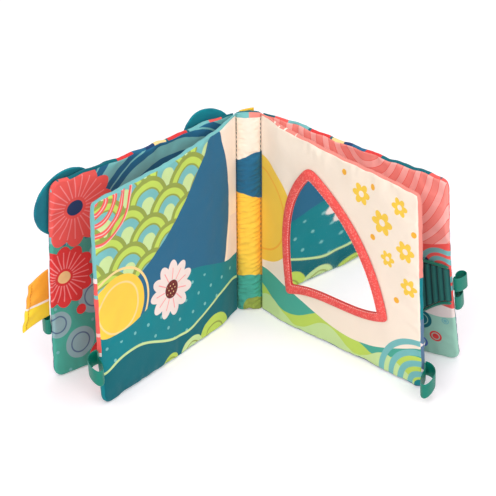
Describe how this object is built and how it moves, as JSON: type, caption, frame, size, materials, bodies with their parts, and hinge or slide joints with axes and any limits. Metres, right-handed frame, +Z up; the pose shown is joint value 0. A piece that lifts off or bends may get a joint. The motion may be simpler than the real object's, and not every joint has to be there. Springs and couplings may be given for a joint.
{
  "type": "crinkle cloth book",
  "caption": "Soft padded cloth book for babies standing open on its edges: printed leaves sewn at a padded spine, with a mirror, ribbon loops and ears.",
  "frame": {"origin": "under the middle of the padded spine, on the plane the book stands on", "axes": "+Z up along the spine, +X towards the right leaves, +Y away from the reader who faces the open pages"},
  "size_m": [0.3366, 0.1669, 0.18],
  "materials": {
    "page_print": "printed woven cotton, soft and matte",
    "right_page_print": "printed woven cotton, soft and matte",
    "page_back_print": "printed woven cotton, soft and matte",
    "right_page_back_print": "printed woven cotton, soft and matte",
    "cover_inner_print": "printed woven cotton, soft and matte",
    "cover_outer_print": "printed woven cotton, soft and matte",
    "spine_print": "printed woven cotton, soft and matte",
    "wadding": "loose polyester wadding",
    "crinkle_film": "thin crackling plastic film",
    "ear_fabric": "smooth dark teal cloth with a faint sheen",
    "seam_cloth": "several layers of cloth sewn through",
    "thread": "sewing thread",
    "trim_thread": "sewing thread",
    "green_ribbon": "satin ribbon with a soft shine",
    "orange_ribbon": "satin ribbon with a soft shine",
    "mirror_backing": "soft padding behind the mirror",
    "mirror_film": "flexible mirror film",
    "trim_cloth": "folded cotton bias tape",
    "ribbed_cloth": "thick ribbed cord cloth",
    "panel_binding": "folded woven binding"
  },
  "bodies": {
    "spine": {"inner_spine_back_fabric": "spine_print", "inner_spine_front_fabric": "spine_print", "inner_spine_wadding": "wadding", "cover_spine_inner_fabric": "cover_inner_print", "cover_spine_outer_fabric": "cover_outer_print", "cover_spine_wadding": "wadding", "left_spine_seam": "seam_cloth", "right_spine_seam": "seam_cloth", "left_seam_thread": "thread", "right_seam_thread": "thread", "spine_ribbon": "orange_ribbon"},
    "left_cover": {"front_cover_front_fabric": "cover_inner_print", "front_cover_back_fabric": "cover_outer_print", "front_cover_wadding": "wadding", "front_cover_crinkle_film": "crinkle_film", "corner_ear_front_fabric": "ear_fabric", "corner_ear_back_fabric": "ear_fabric", "corner_ear_wadding": "wadding", "spine_ear_front_fabric": "ear_fabric", "spine_ear_back_fabric": "ear_fabric", "spine_ear_wadding": "wadding"},
    "left_page": {"left_page_front_fabric": "page_print", "left_page_back_fabric": "page_back_print", "left_page_wadding": "wadding", "left_page_crinkle_film": "crinkle_film"},
    "right_page": {"right_page_front_fabric": "right_page_print", "right_page_back_fabric": "right_page_back_print", "right_page_wadding": "wadding", "right_page_crinkle_film": "crinkle_film", "mirror_backing": "mirror_backing", "mirror_sheet": "mirror_film", "mirror_trim": "trim_cloth", "mirror_trim_thread": "trim_thread"},
    "right_cover": {"back_cover_front_fabric": "cover_inner_print", "back_cover_back_fabric": "cover_outer_print", "back_cover_wadding": "wadding", "back_cover_crinkle_film": "crinkle_film", "back_cover_ribbed_panel": "ribbed_cloth", "back_cover_panel_top_binding": "panel_binding", "back_cover_panel_foot_binding": "panel_binding"},
    "left_page_ribbon": {"left_page_loop": "green_ribbon"},
    "right_page_ribbon": {"right_page_loop": "green_ribbon"},
    "front_cover_ribbon": {"front_cover_loop": "green_ribbon"},
    "back_cover_upper_ribbon": {"back_cover_upper_loop": "green_ribbon"},
    "back_cover_lower_ribbon": {"back_cover_lower_loop": "green_ribbon"},
    "side_tag": {"front_cover_side_tag": "orange_ribbon"}
  },
  "joints": [
    {"name": "left_cover_fold", "type": "hinge", "parent": "spine", "child": "left_cover", "pos_m": [-0.01, 0, 0], "axis": [0, 0, 1], "range_deg": [-98, 45]},
    {"name": "right_cover_fold", "type": "hinge", "parent": "spine", "child": "right_cover", "pos_m": [0.01, 0, 0], "axis": [0, 0, -1], "range_deg": [-98, 49]},
    {"name": "left_page_turn", "type": "hinge", "parent": "left_cover", "child": "left_page", "pos_m": [-0.01, 0, 0], "axis": [0, 0, -1], "range_deg": [-50, 10]},
    {"name": "right_page_turn", "type": "hinge", "parent": "right_cover", "child": "right_page", "pos_m": [0.01, 0, 0], "axis": [0, 0, 1], "range_deg": [-54, 6.5]},
    {"name": "left_page_loop_flex", "type": "hinge", "parent": "left_page", "child": "left_page_ribbon", "pos_m": [-0.11157, -0.13714, 0.041], "axis": [0.0433, -0.0317, -0.9986], "range_deg": [-15, 30], "stiffness_Nm_per_rad": 0.0005},
    {"name": "right_page_loop_flex", "type": "hinge", "parent": "right_page", "child": "right_page_ribbon", "pos_m": [0.13045, -0.12125, 0.019], "axis": [-0.0313, -0.0294, 0.9991], "range_deg": [-15, 30], "stiffness_Nm_per_rad": 0.0005},
    {"name": "front_cover_loop_flex", "type": "hinge", "parent": "left_cover", "child": "front_cover_ribbon", "pos_m": [-0.14921, -0.09855, 0.044], "axis": [0.0092, -0.012, -0.9999], "range_deg": [-30, 20], "stiffness_Nm_per_rad": 0.0005},
    {"name": "back_cover_upper_loop_flex", "type": "hinge", "parent": "right_cover", "child": "back_cover_upper_ribbon", "pos_m": [0.15196, -0.09382, 0.076], "axis": [-0.1052, -0.1645, 0.9808], "range_deg": [-25, 25], "stiffness_Nm_per_rad": 0.0005},
    {"name": "back_cover_lower_loop_flex", "type": "hinge", "parent": "right_cover", "child": "back_cover_lower_ribbon", "pos_m": [0.1541, -0.09065, 0.0575], "axis": [-0.1088, -0.1793, 0.9778], "range_deg": [-30, 20], "stiffness_Nm_per_rad": 0.0005},
    {"name": "side_tag_flap", "type": "hinge", "parent": "left_cover", "child": "side_tag", "pos_m": [-0.1488, -0.09859, 0.074], "axis": [-0.0194, 0.0282, -0.9994], "range_deg": [-25, 25], "stiffness_Nm_per_rad": 0.0005}
  ]
}
